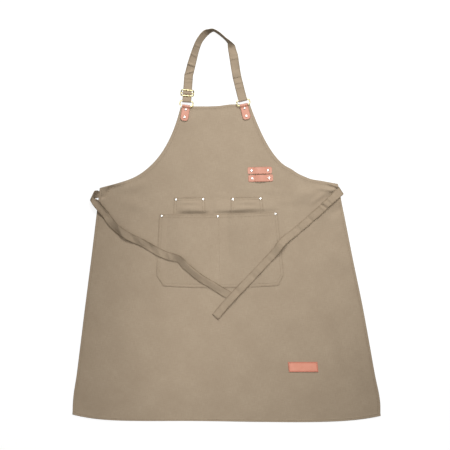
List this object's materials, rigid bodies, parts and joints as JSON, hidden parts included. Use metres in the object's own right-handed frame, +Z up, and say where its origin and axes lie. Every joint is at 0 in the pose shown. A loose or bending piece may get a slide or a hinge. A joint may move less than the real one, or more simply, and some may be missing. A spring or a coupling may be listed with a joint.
{
  "type": "canvas work apron",
  "caption": "Canvas bib apron lying flat: neck strap with slider and rings, leather tabs and tool loops, riveted pockets, waist ties folded over the front and a bare leather label.",
  "frame": {"origin": "middle of the apron's footprint, on the surface it lies on", "axes": "+X to the right across the front as seen from above, +Y from the hem to the neck strap, +Z up off the surface"},
  "size_m": [0.802, 1.0242, 0.0227],
  "materials": {
    "canvas": "matt plain-weave cotton canvas",
    "strap_canvas": "matt folded and sewn canvas strap",
    "leather": "smooth pale tan leather, satin",
    "brass_wire": "polished pale gold",
    "nickel_rivet": "polished nickel"
  },
  "bodies": {
    "root": {"apron_body": "canvas", "large_pocket": "canvas", "small_pocket_left": "canvas", "small_pocket_right": "canvas", "neck_strap": "strap_canvas", "waist_tie_left": "strap_canvas", "waist_tie_right": "strap_canvas", "ring_tab_left": "leather", "ring_tab_right": "leather", "tool_loop_upper": "leather", "tool_loop_lower": "leather", "hem_label": "leather", "strap_ring_left": "brass_wire", "strap_ring_right": "brass_wire", "strap_slider": "brass_wire", "rivet_tab_left_1": "nickel_rivet", "rivet_tab_left_2": "nickel_rivet", "rivet_tab_right_1": "nickel_rivet", "rivet_tab_right_2": "nickel_rivet", "rivet_loop_upper_1": "nickel_rivet", "rivet_loop_upper_2": "nickel_rivet", "rivet_loop_lower_1": "nickel_rivet", "rivet_loop_lower_2": "nickel_rivet", "rivet_pocket_left": "nickel_rivet", "rivet_pocket_middle": "nickel_rivet", "rivet_pocket_right": "nickel_rivet", "rivet_pocket_small_left_1": "nickel_rivet", "rivet_pocket_small_left_2": "nickel_rivet", "rivet_pocket_small_right_1": "nickel_rivet", "rivet_pocket_small_right_2": "nickel_rivet"}
  },
  "joints": []
}
